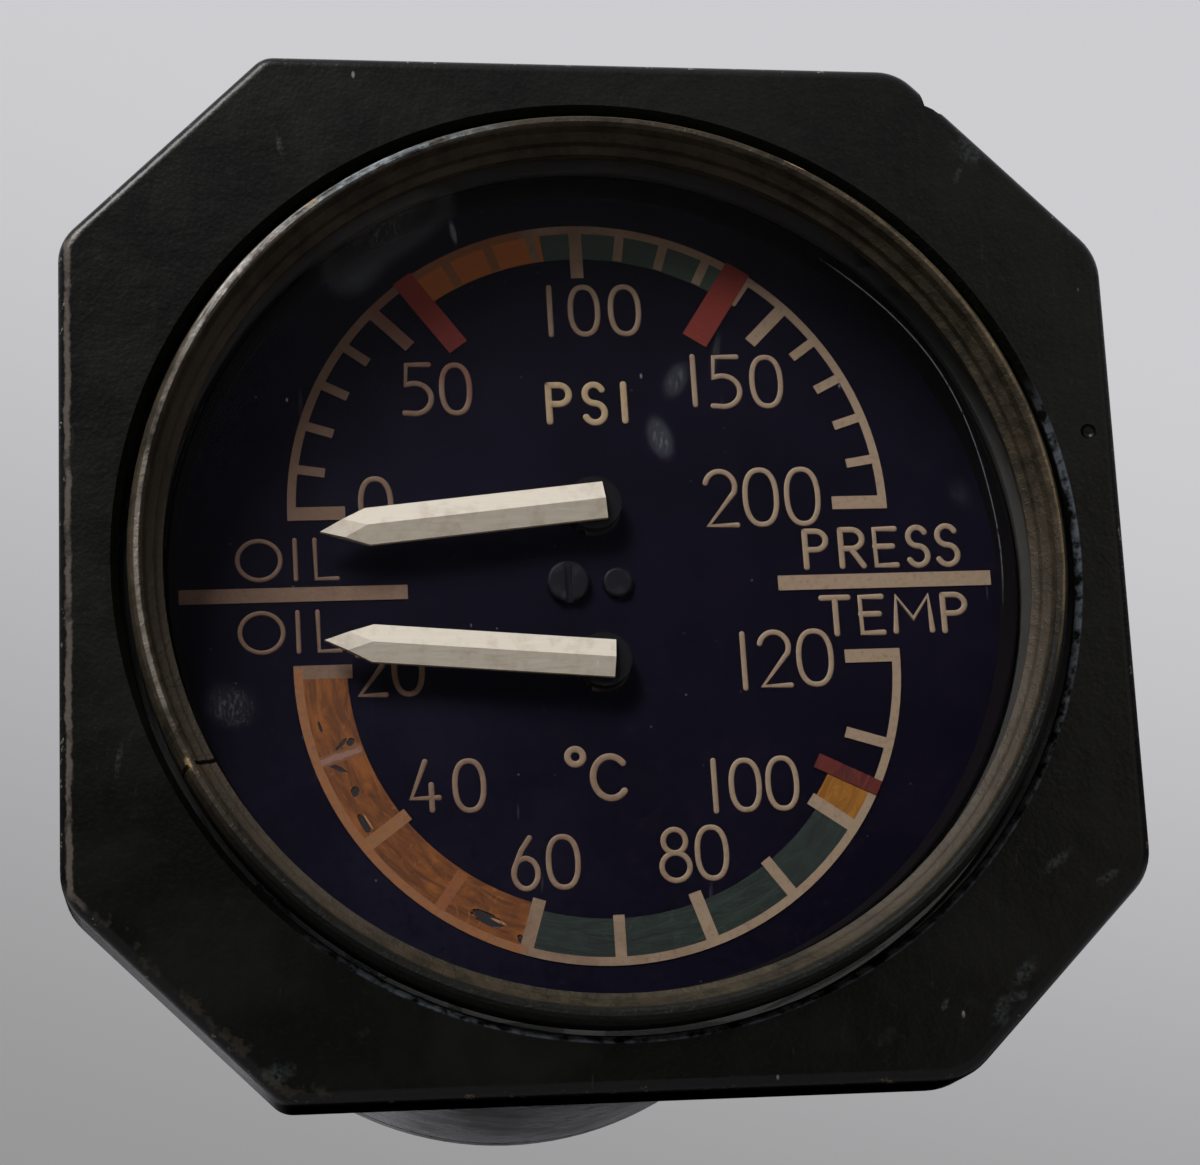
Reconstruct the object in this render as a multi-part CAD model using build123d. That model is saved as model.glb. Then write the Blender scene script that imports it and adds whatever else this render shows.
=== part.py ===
from build123d import *
import math
import os

# Aircraft panel gauge for oil pressure and oil temperature, two inch size, in millimetres.
# Seen from the front, X points right and Z up, and Y runs back from the dial into the case.
# The origin lies on the case axis, in the plane where the bezel flange meets the panel.

os.makedirs("parts", exist_ok=True)

# Bezel flange: an octagon with broad corner cuts, and the damage on its front edge. Its corners are worn
# to different rounds, which run anticlockwise from the one at the right, above the middle.
bezel_size = 60.3
bezel_corner_cut = 11.5
bezel_thickness = 4.8
bezel_corner_rounds = [3.4, 3.0, 1.5, 2.8, 3.4, 1.5, 3.8, 3.4]
bezel_edge_round = 0.7
bezel_rear_edge = 0.3
chip_outline = [
    (19.90, 28.90), (20.12, 27.80), (20.60, 27.62), (20.95, 27.38),
    (21.45, 27.36), (24.00, 27.00), (24.00, 31.00),
]
pit_place = (28.5, 7.4)
pit_radius = 0.5

# Case barrel behind the flange, and the recess in front for the window
barrel_radius = 25.4
barrel_bore = 23.6
barrel_end = 69.5
recess_radius = 27.0
recess_lip = 0.4
recess_depth = 4.2
dial_bore = 24.6

# Everything behind the window sits a little anticlockwise in the case
inside_turn = -1.07

# Window stack, from the shoulder of the recess forwards
seal_thickness = 0.6
glass_thickness = 1.6
window_radius = 26.8
retainer_bore = 24.6
retainer_rim = 26.5
retainer_ridge = 26.0
retainer_height = 3.1
retainer_gap_angle = 207
retainer_gap = 0.25
mask_radius = 24.5
mask_bore = 24.0

# Dial and the paint on it
dial_radius = 24.5
dial_front = 1.1
dial_thickness = 0.8
paint_thickness = 0.05
bar_thickness = 0.09
pivot_height = 4.7
pivot_hole = 1.7
screw_place = (-1.7, 0.2)
screw_radius = 0.8
pin_place = (1.2, 0.1)
pin_radius = 0.5

# Scales: both are half circles about their pointer's pivot, with angles in degrees from the right
scale_radius = 17.6
scale_line = 0.5
major_tick_inner = 14.3
major_tick_width = 0.75
minor_tick_inner = {"pressure": 15.55, "temperature": 14.7}
minor_tick_width = {"pressure": 0.55, "temperature": 0.65}
end_tick_width = 0.8
pressure_full = 200
temperature_low = 20
temperature_full = 120

# Pointers, and where they lie with the power off, beyond the low end of their scales
pointer_reach = 15.9
pointer_tail = 0.6
pointer_width = 2.2
pointer_taper = 2.7
pointer_edge = 0.3
pointer_ridge = 0.65
pointer_clearance = 1.15
pressure_rest_tilt = -5.5
temperature_rest_tilt = 5.4
hub_radius = 1.6
hub_length = 0.8
hub_socket = 0.3

# Movement frame: three plates on four long screws with spacers
plate_radius = 22.8
plate_width = 36
plate_thickness = 1.5
front_plate = 5.4
bay_length = 17.5
post_circle = 18.5
tie_screw_radius = 1.25
tie_screw_head = 2.3
spacer_radius = 2.6
hole_slack = 0.05

# Movements: a magnet on each staff, inside two crossed pairs of coils in an iron can
staff_radius = 0.45
staff_pivot_radius = 0.26
running_gap = 0.04
rotor_radius = 3.2
rotor_length = 4.0
former_half = 5.0
former_cavity = 3.7
winding_build = 1.1
winding_offset = 1.95
winding_width = 1.7
shield_radius = 7.55
shield_wall = 0.4
jewel_radius = 1.5

# Terminal board with its lugs and resistors
board_thickness = 1.6
rear_spacer_length = 6.6
lug_circle = 11.0
lug_radius = 0.9
lug_length = 2.2
resistor_place = (5.0, 4.2)
resistor_length = 5.0
wire_radius = 0.45
wire_bend = 2.0

# Rear cover, its seal groove and its countersunk screws
cover_thickness = 2.5
spigot_radius = 23.55
spigot_wall = 2.6
spigot_length = 8.5
groove_offset = 1.4
groove_width = 1.5
groove_depth = 1.2
cover_screw_depth = 65.8
cover_screw_radius = 1.2
cover_screw_head = 2.3
cover_screw_angles = [45, 135, 225, 315]

# Connector on the rear cover
connector_flange = 17.4
connector_hole = 6.7
connector_screw_radius = 1.0
connector_radius = 7.1
connector_bore = 5.7
connector_length = 13.0
connector_tail = 4.5
gasket_thickness = 0.8
connector_flange_thickness = 1.6
pin_circle = 3.9
contact_radius = 0.8
contact_count = 5

# Depths along the case that follow from the sizes above
bezel_front = -bezel_thickness
seat = bezel_front + recess_depth
glass_back = seat - seal_thickness
glass_front = glass_back - glass_thickness
dial_back = dial_front + dial_thickness
pointer_back = dial_front - pointer_clearance
front_plate_back = front_plate + plate_thickness
middle_plate = front_plate_back + bay_length
middle_plate_back = middle_plate + plate_thickness
rear_plate = middle_plate_back + bay_length
rear_plate_back = rear_plate + plate_thickness
board = rear_plate_back + rear_spacer_length
board_back = board + board_thickness
cover_back = barrel_end + cover_thickness
tie_screw_end = board_back + 6
connector_front = cover_back - connector_tail
flange_front = cover_back + gasket_thickness
flange_back = flange_front + connector_flange_thickness
shell_back = cover_back + connector_length

# Places that repeat at four corners or around a circle
corner_signs = [(1, 1), (-1, 1), (-1, -1), (1, -1)]
post_reach = post_circle / math.sqrt(2)
post_corners = [(x * post_reach, z * post_reach) for x, z in corner_signs]
connector_corners = [(x * connector_hole, z * connector_hole) for x, z in corner_signs]
resistor_places = [(x * resistor_place[0], z * resistor_place[1]) for x, z in corner_signs]
contact_angles = [90 + 360 * index / contact_count for index in range(contact_count)]
upper_pivot = (0, pivot_height)
lower_pivot = (0, -pivot_height)


def across(depth):
    """Drawing plane across the case axis, seen from the front: x right, y up."""
    return Plane.XZ.offset(-depth)


def slab(outline, front, back):
    """Solid between two depths, from an outline drawn as seen from the front."""
    return extrude(across(back) * outline, amount=back - front)


def rod(radius, front, back, place=(0, 0)):
    return slab(Pos(*place) * Circle(radius), front, back)


def tube(radius, bore, front, back, place=(0, 0)):
    return slab(Pos(*place) * (Circle(radius) - Circle(bore)), front, back)


def turned(profile, place=(0, 0)):
    """Solid turned about an axis along Y, from corners given as radius and depth."""
    solid = revolve(make_face(Polyline(*profile, close=True)), Axis.Y)
    return Pos(place[0], 0, place[1]) * solid


def polar(radius, angle):
    return radius * math.cos(math.radians(angle)), radius * math.sin(math.radians(angle))


def front_rounded(solid, radius):
    """The solid with the edges of its front face rounded."""
    return fillet(solid.faces().sort_by(Axis.Y)[0].edges(), radius)


def save(name, *pieces):
    """Write one sub-part, whose pieces stay separate solids."""
    solids = [solid for piece in pieces for solid in piece.solids()]
    export_step(Compound(solids), f"parts/{name}.step")


def save_inside(name, *pieces):
    """Write a sub-part that is drawn upright and sits turned in the case."""
    solids = [solid for piece in pieces for solid in piece.solids()]
    save(name, *[Rot(Y=inside_turn) * solid for solid in solids])


def countersunk(shank, head):
    """Countersunk screw, or the hole for one, pointing down from the origin."""
    cone = Pos(0, 0, (shank - head) / 2) * Cone(shank, head, head - shank)
    return cone + Pos(0, 0, -2.2) * Cylinder(shank, 4.0)


def at_cover_screws(solid, height):
    """The solid at each of the screws that pass through the barrel into the cover."""
    return [Rot(Y=angle) * Pos(0, cover_screw_depth, height) * solid for angle in cover_screw_angles]


# Case: cast octagonal flange and round barrel in one piece, with the window recess in front
octagon = chamfer(Rectangle(bezel_size, bezel_size).vertices(), bezel_corner_cut)
edge = bezel_size / 2
shoulder = edge - bezel_corner_cut
octagon_corners = [
    (edge, shoulder), (shoulder, edge), (-shoulder, edge), (-edge, shoulder),
    (-edge, -shoulder), (-shoulder, -edge), (shoulder, -edge), (edge, -shoulder),
]
for corner, radius in zip(octagon_corners, bezel_corner_rounds):
    octagon = fillet(octagon.vertices().sort_by_distance(corner)[0], radius)
flange = front_rounded(slab(octagon, bezel_front, 0), bezel_edge_round)
flange = chamfer(flange.faces().sort_by(Axis.Y)[-1].edges(), bezel_rear_edge)
barrel = turned([
    (0, -1),
    (barrel_radius, -1),
    (barrel_radius, barrel_end - 0.3),
    (barrel_radius - 0.3, barrel_end),
    (0, barrel_end),
])
bore = turned([
    (0, bezel_front - 1),
    (recess_radius + recess_lip + 1, bezel_front - 1),
    (recess_radius, bezel_front + recess_lip),
    (recess_radius, seat),
    (dial_bore, seat),
    (dial_bore, dial_back),
    (barrel_bore, dial_back),
    (barrel_bore, barrel_end + 1),
    (0, barrel_end + 1),
])
chip = slab(make_face(Polyline(*chip_outline, close=True)), bezel_front - 1, 1)
pit = Pos(pit_place[0], bezel_front - 0.15, pit_place[1]) * Sphere(pit_radius)
cover_screw_hole = countersunk(cover_screw_radius + 0.1, cover_screw_head + 0.2)
case = flange + barrel - bore - chip - pit
for hole in at_cover_screws(cover_screw_hole, barrel_radius):
    case -= Rot(Y=inside_turn) * hole
save("case", case)

# Window seal, glass and retaining ring, stacked in the recess. The ring is a funnel that stands proud of
# the bezel, with its ridge near the outer edge.
save("window_seal", tube(window_radius, dial_bore + 0.2, glass_back, seat))
glass = rod(window_radius, glass_front, glass_back)
save("window_glass", chamfer(glass.edges(), 0.15))
ridge_front = glass_front - retainer_height
retainer = turned([
    (retainer_bore + 0.30, glass_front),
    (retainer_rim, glass_front),
    (retainer_rim, ridge_front + 0.85),
    (retainer_ridge + 0.32, ridge_front + 0.30),
    (retainer_ridge + 0.12, ridge_front),
    (retainer_ridge - 0.12, ridge_front),
    (retainer_ridge - 0.32, ridge_front + 0.20),
    (retainer_ridge - 0.50, ridge_front + 0.70),
    (retainer_bore + 0.50, ridge_front + 1.15),
    (retainer_bore + 0.40, ridge_front + 1.55),
    (retainer_bore + 0.30, ridge_front + 1.65),
    (retainer_bore + 0.02, ridge_front + 1.85),
    (retainer_bore, ridge_front + 2.00),
])
retainer -= Rot(Y=-retainer_gap_angle) * Pos(retainer_ridge, glass_front, 0) * Box(4, 6, retainer_gap)
save("retaining_ring", retainer)

# Mask ring: a thin turned ring that holds the dial against its ledge and hides the dial's rim
save("mask_ring", turned([
    (mask_radius - 0.15, glass_back),
    (mask_radius, glass_back),
    (mask_radius, dial_front),
    (mask_bore, dial_front),
    (mask_bore, dial_front - 0.4),
]))

# Dial plate, with a hole for each staff, and its screw, pin and standoff post
dial = rod(dial_radius, dial_front, dial_back)
for radius, place in [
    (pivot_hole, upper_pivot),
    (pivot_hole, lower_pivot),
    (screw_radius + hole_slack, screw_place),
    (pin_radius + hole_slack, pin_place),
]:
    dial -= rod(radius, dial_front - 1, dial_back + 1, place)
save_inside("dial_plate", dial)
screw_head = front_rounded(rod(1.25, dial_front - 0.45, dial_front, screw_place), 0.2)
screw_head -= Pos(screw_place[0], dial_front - 0.45, screw_place[1]) * Box(0.4, 0.44, 4)
save_inside("dial_screw", screw_head + rod(screw_radius, dial_front - 0.1, front_plate - 0.6, screw_place))
pin_head = front_rounded(rod(0.9, dial_front - 0.35, dial_front, pin_place), 0.2)
save_inside("dial_pin", pin_head + rod(pin_radius, dial_front - 0.1, front_plate, pin_place))
save_inside("dial_post", tube(1.3, screw_radius + hole_slack, dial_back, front_plate, screw_place))


# Scale paint. An angle runs from the right, upwards for pressure and downwards for temperature.
def sector(outer, inner, start, end):
    """Part of a ring between two angles, in degrees from the right."""
    middle = (start + end) / 2
    corners = [polar(inner, start), polar(outer, start), polar(outer, end), polar(inner, end)]
    return make_face([
        Line(corners[0], corners[1]),
        ThreePointArc(corners[1], polar(outer, middle), corners[2]),
        Line(corners[2], corners[3]),
        ThreePointArc(corners[3], polar(inner, middle), corners[0]),
    ])


def spoke(outer, inner, angle, width):
    """Straight bar along a radius, as a tick or a limit bar."""
    return Rot(Z=angle) * Pos((outer + inner) / 2, 0) * Rectangle(outer - inner, width)


def pressure_angle(pressure):
    return 180 - 180 * pressure / pressure_full


def temperature_angle(temperature):
    return 180 - 180 * (temperature - temperature_low) / (temperature_full - temperature_low)


def painted(outline, side, thickness=paint_thickness):
    """Paint on the dial for the pivot above (side 1) or below (side -1), drawn upwards from it."""
    paint = slab(Pos(*upper_pivot) * outline, dial_front - thickness, dial_front)
    return paint if side > 0 else mirror(paint, Plane.XY)


def scale_paint(kind, ticks):
    """A scale's line with its ticks, each given as an angle and whether it is a major one."""
    line_inner = scale_radius - scale_line
    scale = sector(scale_radius, line_inner, 0, 180)
    for angle, is_major in ticks:
        inner = major_tick_inner if is_major else minor_tick_inner[kind]
        width = major_tick_width if is_major else minor_tick_width[kind]
        scale += spoke(line_inner + 0.1, inner, angle, width)
    for end in (0, 180):
        scale += spoke(scale_radius, major_tick_inner, end, end_tick_width)
    return scale


pressure_ticks = [(pressure_angle(value), value % 50 == 0) for value in range(10, pressure_full, 10)]
temperature_ticks = [(temperature_angle(value), value % 20 == 0)
                     for value in range(temperature_low + 10, temperature_full, 10)]
pressure_scale = painted(scale_paint("pressure", pressure_ticks), 1)
temperature_scale = painted(scale_paint("temperature", temperature_ticks), -1)
save_inside("pressure_scale", pressure_scale)
save_inside("temperature_scale", temperature_scale)
left_divider = Pos(-17.4, -0.1) * Rectangle(12.9, 0.85)
right_divider = Pos(17.1, -0.15) * Rectangle(12.85, 0.9)
save_inside("divider_lines", *[
    slab(divider, dial_front - paint_thickness, dial_front) for divider in (left_divider, right_divider)])

# Limit bars and range bands: they end at the scale's lines, which were painted first
low_bar = painted(spoke(17.7, 12.4, pressure_angle(60), 1.3), 1, bar_thickness)
high_bar = painted(spoke(17.7, 12.3, pressure_angle(137), 1.6), 1, bar_thickness)
hot_bar = painted(spoke(17.6, 13.6, temperature_angle(105), 0.9), -1, bar_thickness)
pressure_bars = low_bar + high_bar
band_outer = scale_radius - scale_line
orange_pressure = painted(sector(band_outer, 15.5, pressure_angle(92), pressure_angle(61)), 1)
green_pressure = painted(sector(band_outer, 15.5, pressure_angle(136), pressure_angle(92)), 1)
orange_temperature = painted(sector(band_outer, 14.6, temperature_angle(60), temperature_angle(20)), -1)
green_temperature = painted(sector(band_outer, 14.9, temperature_angle(100), temperature_angle(60)), -1)
amber_temperature = painted(sector(band_outer, 14.5, temperature_angle(105), temperature_angle(100)), -1)
save_inside("red_limit_bars", pressure_bars - pressure_scale, hot_bar - temperature_scale)
pressure_print = pressure_scale + pressure_bars
save_inside("orange_bands", orange_pressure - pressure_print, orange_temperature - temperature_scale)
save_inside("green_bands", green_pressure - pressure_print, green_temperature - temperature_scale)
save_inside("amber_band", amber_temperature - temperature_scale - hot_bar)


# Moving parts: pointer, hub, staff, balance weight and magnet, all turning together on one pivot
def pointer(tilt):
    """Flat bar with a raised ridge and a tapered nose, pointing left of its pivot."""
    half = pointer_width / 2
    shoulder = pointer_taper - pointer_reach
    ridge = pointer_back - pointer_ridge
    edge = pointer_back - pointer_edge
    outline = make_face(Polyline(
        (-pointer_reach, 0),
        (shoulder, half),
        (pointer_tail, half),
        (pointer_tail, -half),
        (shoulder, -half),
        close=True,
    ))
    roof = make_face(Polyline(
        (-half, pointer_back),
        (half, pointer_back),
        (half, edge),
        (0, ridge),
        (-half, edge),
        close=True,
    ))
    nose = make_face(Polyline(
        (-pointer_reach - 0.1, edge),
        (shoulder, ridge),
        (shoulder, ridge - 1),
        (-pointer_reach - 0.1, ridge - 1),
        close=True,
    ))
    length_plane = Plane((0, 0, 0), x_dir=(0, 0, 1), z_dir=(-1, 0, 0))
    body = slab(outline, ridge, pointer_back)
    body = body & extrude(length_plane * roof, amount=pointer_reach, both=True)
    body -= extrude(nose, amount=half + 1, both=True)
    return Rot(Y=tilt) * body


def balance_weight(tilt):
    """Half disc of brass behind the dial, opposite the pointer."""
    weight = tube(3.0, staff_radius, 2.4, 4.5)
    weight -= Pos(-5, 3.4, 0) * Box(9.2, 4, 12)
    return Rot(Y=tilt) * weight


def coil_former(middle):
    """Two halves of a moulded former, with a round room for the magnet."""
    room = rotor_length / 2 + 0.6
    outline = RectangleRounded(2 * former_half, 2 * former_half, 0.3)
    former = slab(outline, middle - former_half, middle + former_half)
    former -= rod(former_cavity, middle - room, middle + room)
    former -= rod(staff_radius + 0.35, middle - former_half - 1, middle + former_half + 1)
    return [split(former, Plane.YZ, keep=keep) for keep in (Keep.TOP, Keep.BOTTOM)]


def winding(middle, half_width, half_depth, offset, turn):
    """One flat coil wound round the former, a little to one side of the staff."""
    outer = Rectangle(2 * (half_width + winding_build), 2 * (half_depth + winding_build))
    inner = Rectangle(2 * half_width, 2 * half_depth)
    coil = extrude(outer - inner, amount=winding_width / 2, both=True)
    coil = fillet(coil.edges().filter_by(Axis.Z).group_by(SortBy.DISTANCE)[-1], 0.6)
    return Rot(Y=turn) * Pos(0, middle, offset) * coil


def windings(middle):
    """Two crossed pairs of coils, the second pair wound over the first."""
    return [
        winding(middle, former_half, half_depth, offset, turn)
        for half_depth, turn in ((former_half, 0), (former_half + winding_build, 90))
        for offset in (winding_offset, -winding_offset)
    ]


def movement(name, side, tilt, bay_front):
    """One movement in the bay behind a plate, on the pivot above (side 1) or below (side -1)."""
    at_pivot = Pos(0, 0, side * pivot_height)
    bay_back = bay_front + bay_length
    middle = bay_front + bay_length / 2
    staff_shoulder = bay_back - 0.9
    jewel_floor = bay_back + 0.8
    hub = rod(hub_radius, pointer_back, pointer_back + hub_length)
    hub -= rod(staff_radius, pointer_back + hub_socket, pointer_back + hub_length + 1)
    staff = rod(staff_radius, pointer_back + hub_socket, staff_shoulder)
    staff += rod(staff_pivot_radius, staff_shoulder, jewel_floor - 0.1)
    rotor = tube(rotor_radius, staff_radius, middle - rotor_length / 2, middle + rotor_length / 2)
    shield = tube(shield_radius, shield_radius - shield_wall, bay_front, bay_back)
    return_magnet = Pos(4.6, bay_back - 0.6, 0) * Box(1.6, 1.2, 3.2)
    jewel = rod(jewel_radius, bay_back - 0.5, bay_back + plate_thickness)
    jewel -= rod(staff_pivot_radius + running_gap, bay_back - 1, jewel_floor)
    for suffix, pieces in {
        "pointer": [pointer(tilt)],
        "hub": [hub],
        "staff": [staff],
        "balance_weight": [balance_weight(tilt)],
        "rotor": [rotor],
        "coil_former": coil_former(middle),
        "windings": windings(middle),
        "shield": [shield],
        "return_magnet": [return_magnet],
        "rear_jewel": [jewel],
    }.items():
        save_inside(f"{name}_{suffix}", *[at_pivot * piece for piece in pieces])


movement("pressure", 1, pressure_rest_tilt, front_plate_back)
movement("temperature", -1, temperature_rest_tilt, middle_plate_back)


# Frame plates with flats at the sides, spacers, and the long screws that clamp them to the rear cover
def plate(front, holes):
    """Round plate with screw holes, and with holes given as radius and place."""
    outline = Circle(plate_radius) & Rectangle(2 * plate_radius, plate_width)
    for corner in post_corners:
        outline -= Pos(*corner) * Circle(tie_screw_radius + hole_slack)
    for radius, place in holes:
        outline -= Pos(*place) * Circle(radius)
    return slab(outline, front, front + plate_thickness)


def spacers(front, back):
    bore_radius = tie_screw_radius + hole_slack
    return [tube(spacer_radius, bore_radius, front, back, corner) for corner in post_corners]


save_inside("front_plate", plate(front_plate, [
    (jewel_radius, upper_pivot), (jewel_radius, lower_pivot), (screw_radius, screw_place)]))
save_inside("middle_plate", plate(middle_plate, [(jewel_radius, upper_pivot), (1.2, lower_pivot)]))
save_inside("rear_plate", plate(rear_plate, [(jewel_radius, lower_pivot)]))
save_inside("front_jewels", *[
    tube(jewel_radius, staff_radius + running_gap, front_plate, front_plate_back, pivot)
    for pivot in (upper_pivot, lower_pivot)])
save_inside("front_spacers", *spacers(front_plate_back, middle_plate))
save_inside("middle_spacers", *spacers(middle_plate_back, rear_plate))
save_inside("rear_spacers", *spacers(rear_plate_back, board))
slotted_head = Circle(tie_screw_head) - Rectangle(6, 0.6)
save_inside("tie_screws", *[
    slab(Pos(*corner) * slotted_head, front_plate - 1.4, front_plate - 0.7)
    + rod(tie_screw_head, front_plate - 0.7, front_plate, corner)
    + rod(tie_screw_radius, front_plate, tie_screw_end, corner)
    for corner in post_corners])

# Terminal board, clamped between the rear spacers and the cover's posts
lug_places = [polar(lug_circle, angle) for angle in contact_angles]
board_outline = Circle(21.5) & Rectangle(43, 34)
for corner in post_corners:
    board_outline -= Pos(*corner) * Circle(tie_screw_radius + hole_slack)
for place in lug_places:
    board_outline -= Pos(*place) * Circle(lug_radius)
save_inside("terminal_board", slab(board_outline, board, board_back))
lug_back = board_back + lug_length
save_inside("terminal_lugs", *[
    rod(1.5, board_back, board_back + 0.5, place) + rod(lug_radius, board - 0.8, lug_back, place)
    for place in lug_places])
resistor_front = board - resistor_length
save_inside("trim_resistors", *[turned([
    (0, resistor_front),
    (2.6, resistor_front),
    (2.6, resistor_front + 0.6),
    (1.9, resistor_front + 0.6),
    (1.9, board - 0.8),
    (2.6, board - 0.8),
    (2.6, board),
    (0, board),
], place) for place in resistor_places])

# Rear cover: turned disc with a spigot for the seal and four posts for the long screws
spigot_front = barrel_end - spigot_length
groove_front = spigot_front + groove_offset
groove_back = groove_front + groove_width
groove_floor = spigot_radius - groove_depth
cover = turned([
    (0, barrel_end),
    (spigot_radius - spigot_wall, barrel_end),
    (spigot_radius - spigot_wall, spigot_front),
    (spigot_radius, spigot_front),
    (spigot_radius, groove_front),
    (groove_floor, groove_front),
    (groove_floor, groove_back),
    (spigot_radius, groove_back),
    (spigot_radius, barrel_end),
    (barrel_radius, barrel_end),
    (barrel_radius, cover_back - 0.8),
    (barrel_radius - 0.8, cover_back),
    (0, cover_back),
])
for corner in post_corners:
    cover += rod(spacer_radius + 0.3, board_back, barrel_end + 0.5, corner)
for corner in post_corners:
    cover -= rod(tie_screw_radius, board_back - 1, tie_screw_end, corner)
cover -= rod(connector_radius + 0.1, barrel_end - 1, cover_back + 1)
for corner in connector_corners:
    cover -= rod(connector_screw_radius, barrel_end - 1, cover_back + 1, corner)
for screw_bore in at_cover_screws(Cylinder(cover_screw_radius, 12), barrel_bore):
    cover -= screw_bore
save_inside("rear_cover", cover)
save_inside("rear_cover_seal", tube(spigot_radius, groove_floor, groove_front, groove_back))
cover_screw = countersunk(cover_screw_radius, cover_screw_head) - Box(0.5, 5, 0.8)
save_inside("cover_screws", *at_cover_screws(cover_screw, barrel_radius - 0.15))

# Connector: flanged shell on a gasket, insulating insert, contact pins and four screws
connector_outline = RectangleRounded(connector_flange, connector_flange, 2.0)
for corner in connector_corners:
    connector_outline -= Pos(*corner) * Circle(connector_screw_radius + 0.3)
gasket = slab(connector_outline, cover_back, flange_front)
save_inside("connector_gasket", gasket - rod(connector_radius + 0.1, cover_back - 1, flange_front + 1))
shell = slab(connector_outline, flange_front, flange_back) + turned([
    (0, connector_front),
    (connector_radius - 0.4, connector_front),
    (connector_radius, connector_front + 0.4),
    (connector_radius, shell_back - 0.5),
    (connector_radius - 0.5, shell_back),
    (0, shell_back),
])
save_inside("connector_shell", shell - rod(connector_bore, connector_front - 1, shell_back + 1))
insert_outline = Circle(connector_bore)
contact_places = [polar(pin_circle, angle) for angle in contact_angles]
for place in contact_places:
    insert_outline -= Pos(*place) * Circle(contact_radius)
save_inside("connector_insert", slab(insert_outline, connector_front, flange_back + 1))
contact_front = connector_front - 2.5
contacts = [rod(contact_radius, contact_front, shell_back - 1.5, place) for place in contact_places]
save_inside("connector_pins", *[
    fillet(contact.faces().sort_by(Axis.Y)[-1].edges(), 0.5) for contact in contacts])
connector_screw_head = turned([
    (0, flange_back),
    (1.65, flange_back),
    (1.65, flange_back + 0.6),
    (1.15, flange_back + 1.1),
    (0, flange_back + 1.1),
])
connector_screw_head -= Pos(0, flange_back + 1.1, 0) * Box(5, 0.9, 0.5)
save_inside("connector_screws", *[
    Pos(corner[0], 0, corner[1]) * connector_screw_head
    + rod(connector_screw_radius, cover_back - 2.2, flange_back, corner)
    for corner in connector_corners])

# Lead wires, from each lug on the board to the solder end of its pin
wire_run = 0.32 * (contact_front - lug_back)
wires = []
for lug, contact in zip(lug_places, contact_places):
    route = FilletPolyline(
        (lug[0], lug_back, lug[1]),
        (lug[0], lug_back + wire_run, lug[1]),
        (contact[0], contact_front - wire_run, contact[1]),
        (contact[0], contact_front, contact[1]),
        radius=wire_bend,
    )
    section = Plane(origin=route @ 0, z_dir=route % 0) * Circle(wire_radius)
    wires.append(sweep(section, path=route))
save_inside("lead_wires", *wires)
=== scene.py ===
import math

import bpy
from mathutils import Euler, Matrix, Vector


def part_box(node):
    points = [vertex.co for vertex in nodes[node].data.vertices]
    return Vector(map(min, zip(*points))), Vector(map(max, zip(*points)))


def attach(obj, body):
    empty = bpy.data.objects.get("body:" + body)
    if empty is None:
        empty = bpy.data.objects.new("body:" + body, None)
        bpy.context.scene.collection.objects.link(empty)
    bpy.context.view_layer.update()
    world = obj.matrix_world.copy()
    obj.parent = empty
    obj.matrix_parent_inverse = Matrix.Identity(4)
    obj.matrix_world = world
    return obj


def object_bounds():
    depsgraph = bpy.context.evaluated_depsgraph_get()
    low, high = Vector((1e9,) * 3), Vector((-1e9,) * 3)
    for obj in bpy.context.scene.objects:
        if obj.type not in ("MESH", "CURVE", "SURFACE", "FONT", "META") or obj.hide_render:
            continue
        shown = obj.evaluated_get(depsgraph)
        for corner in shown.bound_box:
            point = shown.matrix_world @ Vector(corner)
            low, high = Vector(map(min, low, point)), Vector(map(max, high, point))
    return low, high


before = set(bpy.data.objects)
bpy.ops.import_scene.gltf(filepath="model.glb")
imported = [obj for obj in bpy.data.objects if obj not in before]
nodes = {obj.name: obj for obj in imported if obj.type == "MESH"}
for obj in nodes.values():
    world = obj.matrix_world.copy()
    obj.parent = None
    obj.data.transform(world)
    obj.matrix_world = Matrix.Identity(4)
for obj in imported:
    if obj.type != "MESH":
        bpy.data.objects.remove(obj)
cad_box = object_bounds()


# Frame plates: three discs of sheet aluminium with flats at the sides, which carry the two movements.
# Each is turned on its faces, so fine rings run round it, and the sheet has dulled with age.
class Field:
    """A value or colour over a surface. Arithmetic on it adds Math nodes to its tree."""

    def __init__(self, tree, socket):
        self.tree = tree
        self.socket = socket

    def __add__(self, other):
        return maths("ADD", self, other)

    def __sub__(self, other):
        return maths("SUBTRACT", self, other)

    def __rsub__(self, other):
        return maths("SUBTRACT", other, self)

    def __mul__(self, other):
        return maths("MULTIPLY", self, other)

    def __truediv__(self, other):
        return maths("DIVIDE", self, other)

    def __pow__(self, other):
        return maths("POWER", self, other)

    def __abs__(self):
        return maths("ABSOLUTE", self)

    def __or__(self, other):
        return maths("MAXIMUM", self, other)

    def __and__(self, other):
        return maths("MINIMUM", self, other)

    __radd__ = __add__
    __rmul__ = __mul__

    def rise(self, low, high):
        """0 on the low side of the two limits, 1 on the high side, and a smooth rise between them."""
        return self.tree.node("ShaderNodeMapRange", {"interpolation_type": "SMOOTHSTEP"}, {
            "Value": self, "From Min": low, "From Max": high})


def maths(operation, *terms):
    """One Math node on terms that are numbers or Fields."""
    tree = next(term.tree for term in terms if isinstance(term, Field))
    return tree.node("ShaderNodeMath", {"operation": operation}, dict(enumerate(terms)))


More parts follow.
